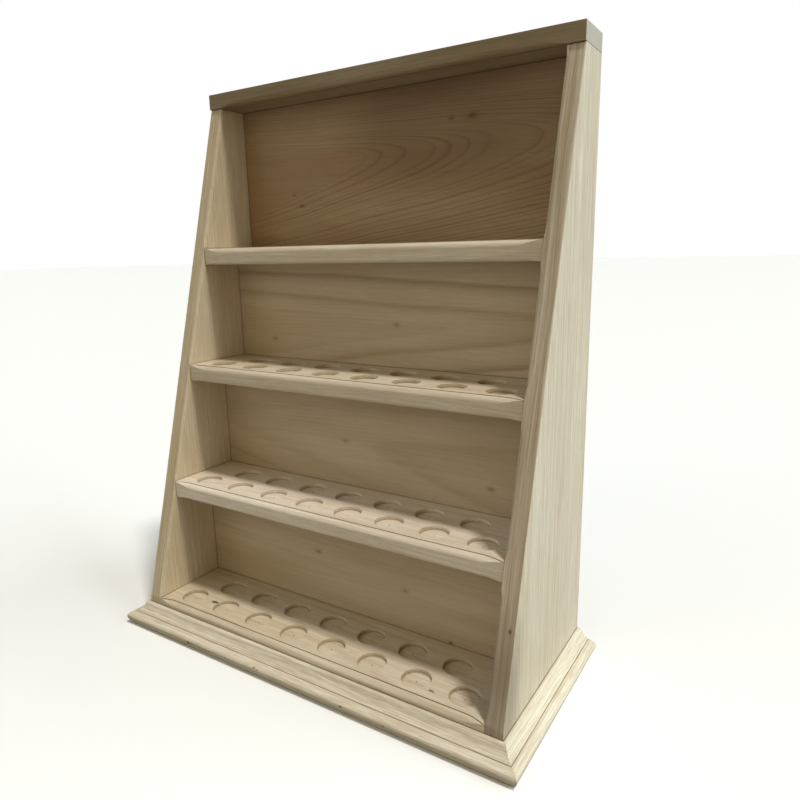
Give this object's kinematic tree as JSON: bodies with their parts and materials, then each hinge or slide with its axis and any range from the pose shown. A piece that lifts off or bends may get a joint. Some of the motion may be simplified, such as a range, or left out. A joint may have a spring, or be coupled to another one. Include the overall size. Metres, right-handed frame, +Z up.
{
  "type": "paint rack organizer",
  "caption": "Free-standing wooden paint rack with leaning sides, stepped back boards, shelves with shallow round bottle recesses and a mitred base moulding.",
  "frame": {"origin": "middle of the footprint, on the surface that the rack stands on", "axes": "+X to the viewer's right when facing the shelves, +Y to the back, +Z up"},
  "size_m": [0.491, 0.2186, 0.6075],
  "materials": {
    "side_wood": "raw sanded poplar, straight upright grain",
    "shelf_wood": "raw sanded poplar, grain along the shelf",
    "back_wood": "raw sanded poplar, flat-sawn figure",
    "moulding_wood": "raw machined pine moulding",
    "dowel_wood": "plain beech dowel",
    "brad_steel": "bright drawn wire"
  },
  "bodies": {
    "root": {"left_side": "side_wood", "right_side": "side_wood", "top_board": "side_wood", "bottom_shelf": "shelf_wood", "lower_shelf": "shelf_wood", "middle_shelf": "shelf_wood", "upper_shelf": "shelf_wood", "bottom_back": "back_wood", "lower_back": "back_wood", "middle_back": "back_wood", "upper_back": "back_wood", "front_moulding": "moulding_wood", "left_moulding": "moulding_wood", "right_moulding": "moulding_wood", "dowel_bottom_left_1": "dowel_wood", "dowel_bottom_left_2": "dowel_wood", "dowel_bottom_right_1": "dowel_wood", "dowel_bottom_right_2": "dowel_wood", "dowel_lower_left_1": "dowel_wood", "dowel_lower_left_2": "dowel_wood", "dowel_lower_right_1": "dowel_wood", "dowel_lower_right_2": "dowel_wood", "dowel_middle_left_1": "dowel_wood", "dowel_middle_left_2": "dowel_wood", "dowel_middle_right_1": "dowel_wood", "dowel_middle_right_2": "dowel_wood", "dowel_upper_left_1": "dowel_wood", "dowel_upper_left_2": "dowel_wood", "dowel_upper_right_1": "dowel_wood", "dowel_upper_right_2": "dowel_wood", "dowel_top_left_1": "dowel_wood", "dowel_top_left_2": "dowel_wood", "dowel_top_right_1": "dowel_wood", "dowel_top_right_2": "dowel_wood", "brad_front_1": "brad_steel", "brad_front_2": "brad_steel", "brad_front_3": "brad_steel", "brad_front_4": "brad_steel", "brad_left_1": "brad_steel", "brad_left_2": "brad_steel", "brad_left_3": "brad_steel", "brad_right_1": "brad_steel", "brad_right_2": "brad_steel", "brad_right_3": "brad_steel"}
  },
  "joints": []
}
